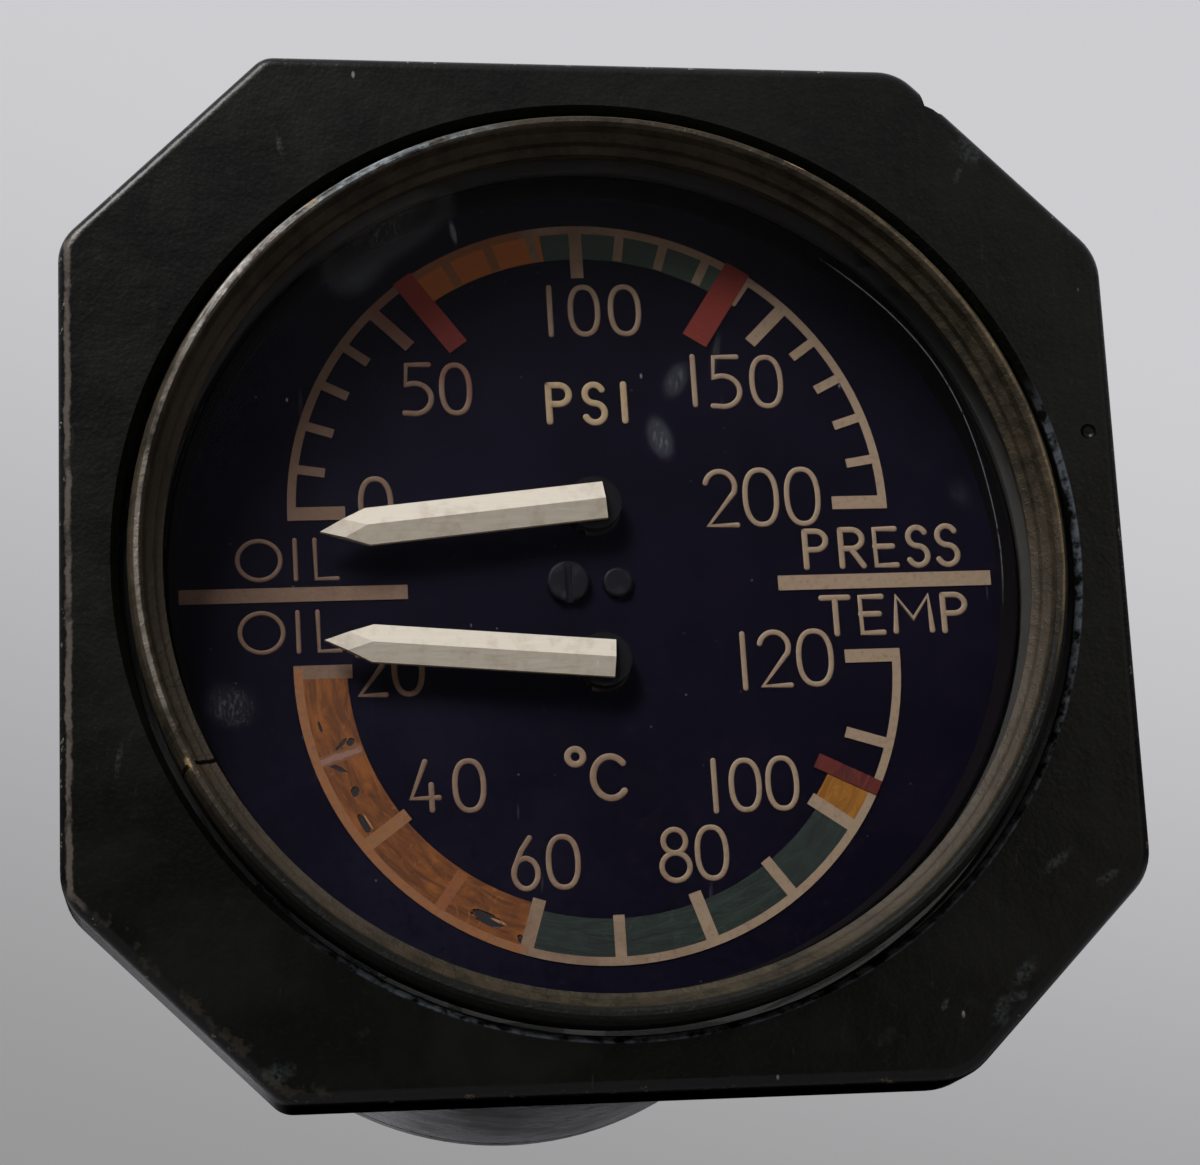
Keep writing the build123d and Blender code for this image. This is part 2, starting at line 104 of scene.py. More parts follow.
class Tree:
    """A node tree. Its node method adds one node and returns the output that is asked for."""

    def __init__(self, tree):
        self.tree = tree

    def node(self, kind, settings={}, values={}, output=0):
        made = self.tree.nodes.new(kind)
        for name, setting in settings.items():
            setattr(made, name, setting)
        for name, value in values.items():
            self.fill(made.inputs[name], value)
        return Field(self, made.outputs[output]) if made.outputs else made

    def fill(self, socket, value):
        if isinstance(value, Field):
            self.tree.links.new(value.socket, socket)
        elif socket.type == "RGBA":
            socket.default_value = (*value, 1)
        else:
            socket.default_value = value


class Finish(Tree):
    """A material with one Principled shader. Lengths in it are millimetres on the object."""

    def __init__(self, name):
        self.material = bpy.data.materials.new(name)
        self.material.use_nodes = True
        super().__init__(self.material.node_tree)
        self.shader = self.tree.nodes["Principled BSDF"]
        self.place = self.vector(
            "MULTIPLY", self.node("ShaderNodeTexCoord", output="Object"), (1000, 1000, 1000))
        self.x, self.y, self.z = [
            self.node("ShaderNodeSeparateXYZ", {}, {0: self.place}, axis) for axis in range(3)]
        self.tear = None

    def vector(self, operation, first, second):
        return self.node("ShaderNodeVectorMath", {"operation": operation}, {0: first, 1: second})

    def radius(self, x=0.0, z=0.0):
        """Distance from the line along Y through x, z."""
        return ((self.x - x) ** 2 + (self.z - z) ** 2) ** 0.5

    def angle(self, x=0.0, z=0.0):
        """Angle in radians about the line along Y through x, z, from the right and upwards."""
        return maths("ARCTAN2", self.z - z, self.x - x)

    def noise(self, scale, detail=3, rough=0.55, stretch=(1, 1, 1), seed=0.0, bend=0.0):
        """Noise from 0 to 1 with about scale waves in a millimetre."""
        place = self.vector("ADD", self.vector("MULTIPLY", self.place, stretch), (seed, seed, seed))
        return self.node("ShaderNodeTexNoise", {}, {
            "Vector": place, "Scale": scale, "Detail": detail, "Roughness": rough, "Distortion": bend})

    def specks(self, scale, size, seed=0.0, stretch=(1, 1, 1)):
        """Scattered specks of up to size, as a share of their spacing: 1 inside a speck."""
        place = self.vector("ADD", self.vector("MULTIPLY", self.place, stretch), (seed, seed, seed))
        distance = self.node("ShaderNodeTexVoronoi", {}, {"Vector": place, "Scale": scale})
        return distance.rise(size, size * 0.5)

    def spot(self, x, z, width, height, turn, soft, ragged=0.0):
        """One oval mark: 1 inside it, fading out over a share of its size. Ragged breaks up its edge."""
        sine, cosine = math.sin(math.radians(turn)), math.cos(math.radians(turn))
        along = ((self.x - x) * cosine + (self.z - z) * sine) / (width / 2)
        over = ((self.z - z) * cosine - (self.x - x) * sine) / (height / 2)
        edge = (along ** 2 + over ** 2) ** 0.5
        if ragged:
            self.tear = self.tear or self.noise(2.6, 2, 0.6, seed=8.0) - 0.5
            edge = edge + self.tear * ragged
        return edge.rise(1 + soft, 1 - soft)

    def colours(self, share, first, second):
        """First colour where share is 0 and second where it is 1."""
        return self.node("ShaderNodeMix", {"data_type": "RGBA"}, {0: share, 6: first, 7: second}, 2)

    def relief(self, height, depth):
        """Surface normal of a relief depth millimetres deep."""
        return self.node("ShaderNodeBump", {}, {
            "Height": height, "Distance": depth / 1000, "Strength": 1.0})

    def surface(self, colour, roughness, metal=0.0, **others):
        """Sets the shader and returns the material."""
        values = {"Base Color": colour, "Roughness": roughness, "Metallic": metal}
        values.update({name.replace("_", " "): value for name, value in others.items()})
        for name, value in values.items():
            self.fill(self.shader.inputs[name], value)
        return self.material


def dress(material, *names):
    """Gives a material to carried-over parts of the object."""
    for name in names:
        for slot in nodes[name].material_slots:
            slot.material = material


plates = Finish("turned_plate")
tarnish = plates.noise(0.25, 4).rise(0.35, 0.7)
dress(plates.surface(
    plates.colours(tarnish, (0.52, 0.51, 0.48), (0.38, 0.36, 0.32)),
    0.32 + tarnish * 0.18, 1.0,
    Normal=plates.relief(maths("SINE", plates.radius() * 14), 0.004),
), "front_plate", "middle_plate", "rear_plate")

# Spacers, dial post and balance weights: turned brass, lacquered once and now browned where it was touched.
# The spacers stand between the plates, and the balance weights on the staffs are chemically blackened.
brass = Finish("old_brass")
browning = brass.noise(0.5, 4, seed=3).rise(0.4, 0.65)
dress(brass.surface(
    brass.colours(browning, (0.55, 0.38, 0.14), (0.30, 0.19, 0.08)),
    0.28 + browning * 0.2, 1.0,
    Normal=brass.relief(brass.noise(0.6, 2, stretch=(1, 12, 1)), 0.006),
), "front_spacers", "middle_spacers", "rear_spacers", "dial_post")

weights = Finish("blackened_brass")
blacking = weights.noise(1.2, 4, seed=4).rise(0.4, 0.7)
dress(weights.surface(
    weights.colours(blacking, (0.010, 0.008, 0.007), (0.050, 0.034, 0.016)), 0.5 - blacking * 0.1, 0.6,
    Normal=weights.relief(blacking, 0.01)), "pressure_balance_weight", "temperature_balance_weight")

# Long frame screws and the staffs: bright steel, with tool marks that run round them. The screws clamp the
# plates on their spacers, and each staff turns between a front jewel and a rear one.
steel = Finish("bright_steel")
marks = steel.noise(1.5, 3, stretch=(1, 6, 1), seed=5)
dress(steel.surface(
    steel.colours(marks, (0.44, 0.44, 0.43), (0.58, 0.57, 0.55)),
    0.22 + marks * 0.2, 1.0, Normal=steel.relief(marks, 0.005),
), "tie_screws", "pressure_staff", "temperature_staff")

# Movements: sintered magnets, black moulded formers, copper coils and soft iron cans, with ruby bearings.
# Each coil is wound turn by turn, so its face is ribbed across the former.
magnets = Finish("sintered_magnet")
grain = magnets.noise(4, 4, seed=7)
dress(magnets.surface(
    magnets.colours(grain, (0.12, 0.12, 0.125), (0.22, 0.22, 0.22)),
    0.45 + grain * 0.2, 0.85, Normal=magnets.relief(grain, 0.02),
), "pressure_rotor", "temperature_rotor", "pressure_return_magnet", "temperature_return_magnet")

formers = Finish("moulded_former")
flow = formers.noise(1.2, 4, seed=9)
dress(formers.surface(
    formers.colours(flow, (0.012, 0.011, 0.010), (0.03, 0.027, 0.024)),
    0.5 + flow * 0.2, Normal=formers.relief(flow, 0.03),
), "pressure_coil_former", "temperature_coil_former")

coils = Finish("copper_winding")
turns = (maths("SINE", coils.y * 26) + maths("SINE", (coils.x + coils.z) * 18)) * 0.25 + 0.5
varnish = coils.noise(1.5, 3, seed=11)
dress(coils.surface(
    coils.colours(turns * varnish, (0.20, 0.05, 0.02), (0.62, 0.24, 0.10)),
    0.25 + varnish * 0.2, 0.9, Normal=coils.relief(turns, 0.05),
), "pressure_windings", "temperature_windings")

cans = Finish("soft_iron_can")
scale = cans.noise(0.8, 5, seed=13)
dress(cans.surface(
    cans.colours(scale.rise(0.4, 0.65), (0.34, 0.33, 0.31), (0.20, 0.18, 0.16)),
    0.35 + scale * 0.3, 1.0, Normal=cans.relief(cans.noise(1.0, 2, stretch=(1, 8, 1)), 0.008),
), "pressure_shield", "temperature_shield")

jewels = Finish("ruby_bearing")
cloud = jewels.noise(1.5, 2, seed=15)
dress(jewels.surface(
    jewels.colours(cloud, (0.35, 0.01, 0.04), (0.55, 0.03, 0.08)), 0.08 + cloud * 0.06, Coat_Weight=0.6,
), "front_jewels", "pressure_rear_jewel", "temperature_rear_jewel")

# Terminal board: brown paper laminate, with tinned lugs and wirewound resistors. The lead wires have woven
# sleeves and run from the board to the connector's pins.
board = Finish("brown_laminate")
fibres = board.noise(0.8, 5, stretch=(1, 1, 5), seed=17)
dress(board.surface(
    board.colours(fibres, (0.13, 0.06, 0.025), (0.24, 0.12, 0.05)),
    0.4 + fibres * 0.2, Normal=board.relief(fibres, 0.02),
), "terminal_board")

tin = Finish("tinned_lug")
solder = tin.noise(2.0, 3, seed=19)
dress(tin.surface(
    tin.colours(solder, (0.42, 0.42, 0.41), (0.62, 0.61, 0.58)), 0.25 + solder * 0.25, 1.0,
    Normal=tin.relief(solder, 0.03)), "terminal_lugs")

resistors = Finish("wirewound_resistor")
winding = maths("SINE", resistors.y * 20) * 0.5 + 0.5
glaze = resistors.noise(1.5, 3, seed=21)
dress(resistors.surface(
    resistors.colours(glaze, (0.10, 0.035, 0.02), (0.19, 0.07, 0.035)), 0.3 + glaze * 0.2,
    Normal=resistors.relief(winding, 0.05)), "trim_resistors")

sleeves = Finish("wire_sleeve")
braid = maths("SINE", (sleeves.y + sleeves.x) * 16) * maths("SINE", (sleeves.y - sleeves.z) * 16)
braid = braid * 0.5 + 0.5
dress(sleeves.surface(
    sleeves.colours(braid, (0.42, 0.40, 0.33), (0.62, 0.59, 0.50)), 0.65 + braid * 0.15,
    Normal=sleeves.relief(braid, 0.04)), "lead_wires")

# Dial: a thin disc of aluminium in flat navy black, dusty under the glass, with fine scratches.
# It sits turned a little anticlockwise in the case, as do the scales on it.
dial_turn = math.radians(1.07)
dial_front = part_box("dial_plate")[0][1]
pivot_height = 4.7
pivots = {side: (-side * pivot_height * math.sin(dial_turn), side * pivot_height * math.cos(dial_turn))
          for side in (1, -1)}
dial = Finish("dial_black")
cloudy = dial.noise(0.12, 2, seed=23).rise(0.38, 0.72)
blotches = dial.noise(0.35, 3, 0.65, seed=25).rise(0.5, 0.75)
dust = dial.specks(0.9, 0.075, seed=2) * dial.noise(0.3, 2, seed=27).rise(0.5, 0.62)
scratches = dial.noise(0.5, 2, stretch=(3.2, 1, 0.35), seed=29).rise(0.71, 0.76) * 0.5
dusty_side = (dial.x + dial.z * 0.3).rise(12.0, -18.0)
dial_colour = dial.colours(cloudy, (0.0022, 0.0015, 0.0062), (0.0038, 0.0027, 0.0098))
dial_colour = dial.colours(blotches * 0.5, dial_colour, (0.0065, 0.0048, 0.0105))
dial_colour = dial.colours(dusty_side * (cloudy * 0.5 + 0.3), dial_colour, (0.0075, 0.0068, 0.0150))
mottled = dial.noise(1.7, 3, 0.7, seed=24)
dial_colour = dial.colours(mottled.rise(0.5, 0.3) * 0.45, dial_colour, (0.0012, 0.0008, 0.0030))
dial_colour = dial.colours(mottled.rise(0.56, 0.75) * 0.35, dial_colour, (0.0130, 0.0095, 0.0160))
dial_colour = dial.colours(dust * 0.6 | scratches * 0.3, dial_colour, (0.12, 0.11, 0.15))
dress(dial.surface(
    dial_colour, 0.65 + blotches * 0.15, Specular_IOR_Level=0.03,
    Normal=dial.relief(dial.noise(0.9, 1, seed=31), 0.02)), "dial_plate")

# Dial screw, dial pin and cover screws: blackened steel heads with their edges rubbed brighter.
# The dial screw enters the dial post, and the cover screws hold the rear cover from its sides.
fixings = Finish("blackened_steel")
rubbed = fixings.noise(1.4, 3, seed=33).rise(0.5, 0.68)
dress(fixings.surface(
    fixings.colours(rubbed, (0.0035, 0.0033, 0.0060), (0.0160, 0.0150, 0.0200)), 0.5 + rubbed * 0.2, 0.2,
    Specular_IOR_Level=0.12), "dial_screw", "dial_pin", "cover_screws")

# Scale lines and dividers: cream paint that has yellowed to tan in patches, and is painted darker and more tan
# towards the left as painted shade.
# Where the lower oil limit's colours were brushed over the pressure line, the line takes their colour.
cream_dark = (0.125, 0.073, 0.048)
cream_light = (0.250, 0.182, 0.125)
lines = Finish("cream_paint")
# The tan share grows towards the left as painted shade, and in patches as yellowing.
yellowing_and_left_shade = (lines.x / 40 + 0.5 + (lines.noise(0.6, 4, seed=35) - 0.5) * 0.8).rise(0.05, 0.85)
worn = lines.noise(3.0, 4, 0.7, seed=37).rise(0.50, 0.74) * 0.6
around = lines.angle(*pivots[1]) - dial_turn
orange_share = around.rise(1.74, 1.78) * around.rise(2.20, 2.16) * lines.z.rise(17.0, 17.4)
red_share = around.rise(2.16, 2.20) * around.rise(2.42, 2.34) * lines.z.rise(9.0, 12.0)
line_colour = lines.colours(yellowing_and_left_shade, cream_dark, cream_light)
line_colour = lines.colours(orange_share * 0.85, line_colour, (0.17, 0.060, 0.018))
line_colour = lines.colours(red_share * 0.6, line_colour, (0.11, 0.030, 0.020))
lower_around = lines.angle(*pivots[-1]) - dial_turn
lower_radius = lines.radius(*pivots[-1])
lower_orange = lower_around.rise(-1.86, -1.92) * lower_radius.rise(17.02, 17.12) * lines.z.rise(-4.6, -5.0)
ticks_end = lower_radius.rise(17.20, 17.08) * lower_radius.rise(13.6, 13.9)
thirty_angle, forty_angle, fifty_angle = 2.827, 2.513, 2.199
thirty_tick = abs(lower_around + thirty_angle).rise(0.040, 0.030) * ticks_end
wander = (lines.noise(1.5, 3, seed=36) - 0.5) * 0.03
thirty_line = abs(lower_around + thirty_angle + wander).rise(0.014, 0.008) * ticks_end
forty_tick = abs(lower_around + forty_angle).rise(0.040, 0.030) * ticks_end
fifty_tick = abs(lower_around + fifty_angle).rise(0.040, 0.030) * ticks_end
brushed_over = lines.noise(1.8, 4, 0.7, stretch=(1, 1, 1.8), seed=38).rise(0.35, 0.65)
line_colour = lines.colours(lower_orange * (brushed_over * 0.35 + 0.6), line_colour, (0.215, 0.078, 0.022))
line_colour = lines.colours(thirty_tick * 0.85, line_colour, (0.130, 0.045, 0.013))
line_colour = lines.colours(thirty_line * 0.8, line_colour, (0.200, 0.105, 0.085))
line_colour = lines.colours(forty_tick * (brushed_over * 0.4 + 0.6), line_colour, (0.205, 0.084, 0.027))
line_colour = lines.colours(fifty_tick * (brushed_over * 0.2 + 0.8), line_colour, (0.170, 0.052, 0.010))
line_colour = lines.colours(
    lines.spot(-8.56, -18.41, 1.4, 0.8, -30, 0.5, 1.0) * 0.7, line_colour, (0.16, 0.045, 0.025))
line_colour = lines.colours(lines.spot(0.2, 11.2, 6.2, 4.4, 0, 0.2), line_colour, (0.300, 0.222, 0.130))
line_colour = lines.colours(worn * 0.6, line_colour, (0.045, 0.030, 0.024))
lines_finish = lines.surface(
    line_colour, 0.6 + worn * 0.2, Specular_IOR_Level=0.3,
    Normal=lines.relief(lines.noise(2.2, 3, seed=39), 0.03))
dress(lines_finish, "pressure_scale", "temperature_scale", "divider_lines")

# Range bands and limit bars: thin brushed paint. The strokes run along the band, and the orange of the
# temperature scale has flaked off in a few places, down to the black of the dial.
def brushed(name, dark, light, seed, flakes=(), ridges=()):
    """Paint brushed along the scale. Flakes and pale ridges have an x, z, length, width and turn."""
    paint = Finish(name)
    along = paint.angle(*pivots[-1]) * 14
    across = paint.radius(*pivots[-1])
    stroke_place = paint.node("ShaderNodeCombineXYZ", {}, {0: across * 1.7, 1: along * 0.45, 2: seed})
    strokes = paint.node("ShaderNodeTexNoise", {}, {
        "Vector": stroke_place, "Scale": 1.0, "Detail": 4.0, "Roughness": 0.6, "Distortion": 1.0})
    patchy = paint.noise(0.7, 4, 0.65, seed=seed).rise(0.40, 0.64)
    scraped = paint.noise(0.9, 3, 0.6, stretch=(1.6, 1, 0.9), seed=seed + 7, bend=1.5).rise(0.60, 0.70)
    colour = paint.colours(strokes.rise(0.30, 0.70), dark, light)
    colour = paint.colours(patchy * 0.5, colour, dark)
    colour = paint.colours(scraped * 0.35, colour, [channel * 1.4 + 0.01 for channel in light])
    # The paint is painted lighter towards the top of the dial, as painted light against the ring's shadow
    # there.
    colour = paint.colours(paint.z.rise(12.0, 17.0) * 0.6, colour, [channel * 2.2 for channel in light])
    bare = strokes * 0
    for flake in flakes:
        bare = bare | paint.spot(*flake, 0.12, 1.1)
    pale = strokes * 0
    for ridge in ridges:
        pale = pale | paint.spot(*ridge, 0.3, 0.8)
    colour = paint.colours(bare, colour, (0.010, 0.008, 0.011))
    colour = paint.colours(pale * 0.8, colour, (0.36, 0.19, 0.10))
    return paint.surface(colour, 0.55 + strokes * 0.2, Specular_IOR_Level=0.22,
                         Normal=paint.relief(strokes - bare * 1.5 + pale * 0.6, 0.05))


flaked = [
    (-14.39, -9.09, 0.48, 0.38, 60), (-16.10, -8.19, 0.60, 0.16, 110), (-14.24, -11.98, 0.62, 0.48, 90),
    (-13.79, -13.83, 1.30, 0.34, -60), (-7.08, -19.42, 1.80, 0.62, -28), (-5.05, -20.82, 0.95, 0.34, -50),
    (-15.30, -10.55, 1.30, 0.24, -25), (-14.95, -9.25, 0.9, 0.20, 50),
]
ridged = [(-13.52, -13.76, 1.00, 0.12, -60), (-6.42, -19.61, 0.90, 0.16, -26)]
dress(brushed(
    "orange_paint", (0.068, 0.020, 0.006), (0.200, 0.066, 0.013), 41.0, flaked, ridged), "orange_bands")
dress(brushed("green_paint", (0.005, 0.009, 0.008), (0.013, 0.023, 0.018), 43.0), "green_bands")
dress(brushed("amber_paint", (0.17, 0.064, 0.006), (0.27, 0.112, 0.012), 45.0), "amber_band")
dress(brushed("red_paint", (0.050, 0.006, 0.005), (0.098, 0.012, 0.008), 47.0), "red_limit_bars")


# Numbers and words on the dial: single strokes of cream paint with round ends, a little proud of the dial.
# They are generic scale numbers, units and the names of the two quantities.
def bow(x, z, half_width, half_height, start, end, steps, power=1.0):
    """Points on part of an oval, in shares of a letter's box. A power under 1 squares its shoulders."""
    points = []
    for step in range(steps + 1):
        angle = math.radians(start + (end - start) * step / steps)
        sides = [math.copysign(abs(value) ** power, value) for value in (math.cos(angle), math.sin(angle))]
        points.append((x + half_width * sides[0], z + half_height * sides[1]))
    return points


bowl = [(0, 1), (0.5, 1)] + bow(0.5, 0.74, 0.5, 0.26, 80, -80, 12) + [(0.5, 0.48), (0, 0.48)]
letters = {
    "0": [bow(0.5, 0.5, 0.5, 0.5, 0, 360, 32, 0.85)],
    "1": [[(0.5, 1), (0.5, 0)]],
    "2": [bow(0.5, 0.72, 0.5, 0.28, 165, -25, 16) + [(0.03, 0), (1, 0)]],
    "4": [[(0.55, 1), (0, 0.25), (1, 0.25)], [(0.74, 0.52), (0.74, 0)]],
    "5": [[(0.95, 1), (0.12, 1), (0.06, 0.58)] + bow(0.38, 0.31, 0.62, 0.31, 112, -90, 18) + [(0, 0.02)]],
    "6": [[(0.72, 1), (0.36, 0.76), (0.1, 0.48), (0, 0.3)], bow(0.5, 0.3, 0.5, 0.3, 0, 360, 24)],
    "8": [bow(0.5, 0.77, 0.4, 0.23, 0, 360, 24), bow(0.5, 0.27, 0.5, 0.27, 0, 360, 24)],
    "C": [bow(0.56, 0.5, 0.56, 0.5, 42, 318, 24)],
    "E": [[(1, 1), (0, 1), (0, 0), (1, 0)], [(0, 0.52), (0.85, 0.52)]],
    "I": [[(0.5, 1), (0.5, 0)]],
    "L": [[(0, 1), (0, 0), (1, 0)]],
    "M": [[(0, 0), (0.06, 1), (0.5, 0.34), (0.94, 1), (1, 0)]],
    "O": [bow(0.5, 0.5, 0.5, 0.5, 0, 360, 32)],
    "P": [[(0, 0), (0, 1)], bowl],
    "R": [[(0, 0), (0, 1)], bowl, [(0.45, 0.48), (1, 0)]],
    "S": [bow(0.5, 0.755, 0.46, 0.245, 28, 262, 14) + bow(0.5, 0.255, 0.5, 0.255, 82, -155, 14)],
    "T": [[(0, 1), (1, 1)], [(0.5, 1), (0.5, 0)]],
    "degree": [bow(0.5, 0.5, 0.5, 0.5, 0, 360, 20)],
}
# Each entry is a letter with the left, right, bottom and top of its painted shape, in millimetres.
number_marks = [
    ("0", -13.55, -11.50, 3.45, 6.90),
    ("5", -10.75, -8.85, 10.50, 13.85), ("0", -8.55, -6.60, 10.50, 13.80),
    ("1", -1.96, -1.54, 15.30, 18.60), ("0", -0.70, 1.25, 15.30, 18.60), ("0", 1.70, 3.70, 15.30, 18.60),
    ("1", 6.35, 6.77, 10.80, 14.15), ("5", 7.45, 9.45, 10.65, 14.10), ("0", 9.90, 11.95, 10.65, 14.05),
    ("2", 6.60, 8.70, 3.30, 6.95), ("0", 8.95, 11.15, 3.30, 7.00), ("0", 11.45, 13.65, 3.30, 7.00),
    ("1", 8.08, 8.50, -6.60, -3.00), ("2", 9.10, 11.15, -6.50, -2.95), ("0", 11.40, 13.65, -6.50, -2.95),
    ("1", 5.83, 6.25, -13.80, -10.50), ("0", 6.85, 8.80, -13.80, -10.55), ("0", 9.00, 11.00, -13.80, -10.50),
    ("8", 2.50, 4.45, -17.75, -14.45), ("0", 4.60, 6.60, -17.70, -14.40),
    ("6", -5.95, -4.25, -17.85, -14.60), ("0", -3.95, -1.95, -17.85, -14.60),
    ("4", -11.50, -9.60, -13.10, -9.95), ("0", -9.00, -7.05, -13.20, -10.00),
    ("2", -14.15, -12.30, -6.30, -3.00), ("0", -12.10, -10.20, -6.30, -3.00),
]
oil_marks = [(letter, left, right, bottom, bottom + 2.6)
             for bottom in (0.68, -3.60)
             for letter, left, right in (
                 ("O", -20.65, -17.95), ("I", -17.42, -17.07), ("L", -16.25, -14.75))]
unit_marks = [
    ("P", -2.35, -0.75, 9.85, 12.50), ("S", -0.25, 1.32, 9.75, 12.50), ("I", 2.09, 2.53, 9.85, 12.50),
    ("degree", -2.55, -1.25, -10.80, -9.50), ("C", -1.15, 1.05, -12.85, -10.00),
]
name_marks = [
    ("P", 12.30, 13.90, 0.60, 3.15), ("R", 14.45, 16.10, 0.60, 3.20), ("E", 16.50, 18.10, 0.60, 3.20),
    ("S", 18.50, 20.02, 0.55, 3.25), ("S", 20.28, 21.85, 0.55, 3.30),
    ("T", 13.00, 14.95, -3.50, -0.95), ("E", 15.30, 16.95, -3.50, -0.95), ("M", 17.35, 19.90, -3.45, -0.95),
    ("P", 20.30, 21.98, -3.50, -0.95),
]

strokes = bpy.data.node_groups.new("painted_strokes", "GeometryNodeTree")
for name, in_out, kind in [
    ("Centre lines", "INPUT", "NodeSocketGeometry"), ("Stroke width", "INPUT", "NodeSocketFloat"),
    ("Paint height", "INPUT", "NodeSocketFloat"), ("Paint", "INPUT", "NodeSocketMaterial"),
    ("Letters", "OUTPUT", "NodeSocketGeometry"),
]:
    strokes.interface.new_socket(name, in_out=in_out, socket_type=kind)
making = Tree(strokes)
given = {name: making.node("NodeGroupInput", output=name)
         for name in ("Centre lines", "Stroke width", "Paint height", "Paint")}
half_stroke = given["Stroke width"] * 0.5
paths = making.node("GeometryNodeMeshToCurve", {}, {"Mesh": given["Centre lines"]})
profile = making.node("GeometryNodeCurvePrimitiveCircle", {}, {"Resolution": 12, "Radius": half_stroke})
beads = making.node("GeometryNodeCurveToMesh", {}, {
    "Curve": paths, "Profile Curve": profile, "Fill Caps": True})
ends = making.node("GeometryNodeCurveEndpointSelection")
ball = making.node("GeometryNodeMeshUVSphere", {}, {"Segments": 12, "Rings": 8, "Radius": half_stroke})
closed = making.node("GeometryNodeInputSplineCyclic")
is_tip = making.node("FunctionNodeBooleanMath", {"operation": "NIMPLY"}, {0: ends, 1: closed})
tips = making.node("GeometryNodeInstanceOnPoints", {}, {"Points": paths, "Selection": is_tip, "Instance": ball})
joined = making.node("GeometryNodeJoinGeometry", {}, {0: beads})
making.tree.links.new(tips.socket, joined.socket.node.inputs[0])
solid = making.node("GeometryNodeRealizeInstances", {}, {0: joined})
where = making.node("GeometryNodeInputPosition")
flatten = given["Paint height"] / half_stroke
flat = making.node("ShaderNodeCombineXYZ", {}, {
    0: making.node("ShaderNodeSeparateXYZ", {}, {0: where}, 0),
    1: (making.node("ShaderNodeSeparateXYZ", {}, {0: where}, 1) - dial_front) * flatten + dial_front,
    2: making.node("ShaderNodeSeparateXYZ", {}, {0: where}, 2)})
pressed = making.node("GeometryNodeSetPosition", {}, {"Geometry": solid, "Position": flat})
smooth = making.node("GeometryNodeSetShadeSmooth", {}, {0: pressed})
painted = making.node("GeometryNodeSetMaterial", {}, {"Geometry": smooth, "Material": given["Paint"]})
making.node("NodeGroupOutput", {}, {"Letters": painted})


def made_from(tree, name, mesh, inputs):
    """The plain mesh that a Geometry Nodes tree makes from a mesh of starting points."""
    carrier = bpy.data.objects.new(name + "_start", mesh)
    bpy.context.scene.collection.objects.link(carrier)
    modifier = carrier.modifiers.new("make", "NODES")
    modifier.node_group = tree
    for item in tree.interface.items_tree:
        if item.item_type == "SOCKET" and item.in_out == "INPUT" and item.name in inputs:
            modifier[item.identifier] = inputs[item.name]
    evaluated = carrier.evaluated_get(bpy.context.evaluated_depsgraph_get())
    piece = bpy.data.objects.new(name, bpy.data.meshes.new_from_object(evaluated))
    bpy.context.scene.collection.objects.link(piece)
    bpy.data.objects.remove(carrier)
    return piece


def on_dial(x, z):
    """A point on the dial's face, in metres, from millimetres on the upright dial."""
    return ((x * math.cos(dial_turn) - z * math.sin(dial_turn)) / 1000, dial_front,
            (x * math.sin(dial_turn) + z * math.cos(dial_turn)) / 1000)


def lettering(name, marks, stroke):
    """Paints letters, each within its own box on the dial."""
    points, edges = [], []
    for letter, left, right, bottom, top in marks:
        for path in letters[letter]:
            ring = math.dist(path[0], path[-1]) < 1e-6
            first = len(points)
            for x, z in path[:-1] if ring else path:
                points.append(on_dial(left + stroke / 2 + x * (right - left - stroke),
                                      bottom + stroke / 2 + z * (top - bottom - stroke)))
            last = len(points) - 1
            edges += [(index, index + 1) for index in range(first, last)]
            edges += [(last, first)] if ring else []
    mesh = bpy.data.meshes.new(name)
    mesh.from_pydata(points, edges, [])
    paint_height = 0.04
    piece = made_from(strokes, name, mesh, {
        "Stroke width": stroke / 1000, "Paint height": paint_height / 1000, "Paint": lines_finish})
    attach(piece, "housing")


lettering("scale_numbers", number_marks, 0.33)
lettering("oil_words", oil_marks, 0.27)
lettering("unit_words", unit_marks, 0.40)
lettering("name_words", name_marks, 0.36)

# Pointers: white-painted bars with a ridge along the top, yellowed a little, on black moulded hubs.
# Each hub sits on the front end of its staff and carries the pointer.
pointers = Finish("pointer_white")
grime = pointers.noise(1.1, 4, 0.6, seed=51).rise(0.45, 0.75)
streaks = pointers.noise(0.9, 3, stretch=(0.5, 1, 3), seed=53)
dress(pointers.surface(
    pointers.colours(grime * 0.6, (0.56, 0.52, 0.45), (0.40, 0.34, 0.28)),
    0.5 + grime * 0.2, Specular_IOR_Level=0.25, Normal=pointers.relief(streaks, 0.02),
), "pressure_pointer", "temperature_pointer")

hubs = Finish("hub_black")
moulded = hubs.noise(2.0, 3, seed=55)
dress(hubs.surface(
    hubs.colours(moulded, (0.002, 0.002, 0.003), (0.005, 0.005, 0.007)), 0.55 + moulded * 0.2,
    Specular_IOR_Level=0.08, Normal=hubs.relief(moulded, 0.02)), "pressure_hub", "temperature_hub")

# Case: cast aluminium with its round barrel, in black enamel that is worn at the edges of the bezel.
# The enamel is faintly olive and mottled, bruised at the corners, and rubbed thin along the front edges;
# the pale line along the left front edge is partly that rubbing and partly a painted highlight.
# The rear cover has the same enamel.
enamel = Finish("black_enamel")
half_side = 30.15
corner_cut = 11.5
corner_line = 2 * half_side - corner_cut
side_gap = half_side - (abs(enamel.x) | abs(enamel.z))
corner_gap = (corner_line - abs(enamel.x) - abs(enamel.z)) * 0.7071
edge_gap = side_gap & corner_gap
on_front = enamel.y.rise(-3.4, -4.4)
ragged = enamel.noise(1.1, 3, 0.65, seed=61)
fine = enamel.noise(4.0, 1, 0.6, seed=63)
upright = enamel.noise(1.6, 2, 0.6, stretch=(1, 1, 0.12), seed=64)
mottle = enamel.noise(0.16, 3, 0.6, seed=65).rise(0.35, 0.7)
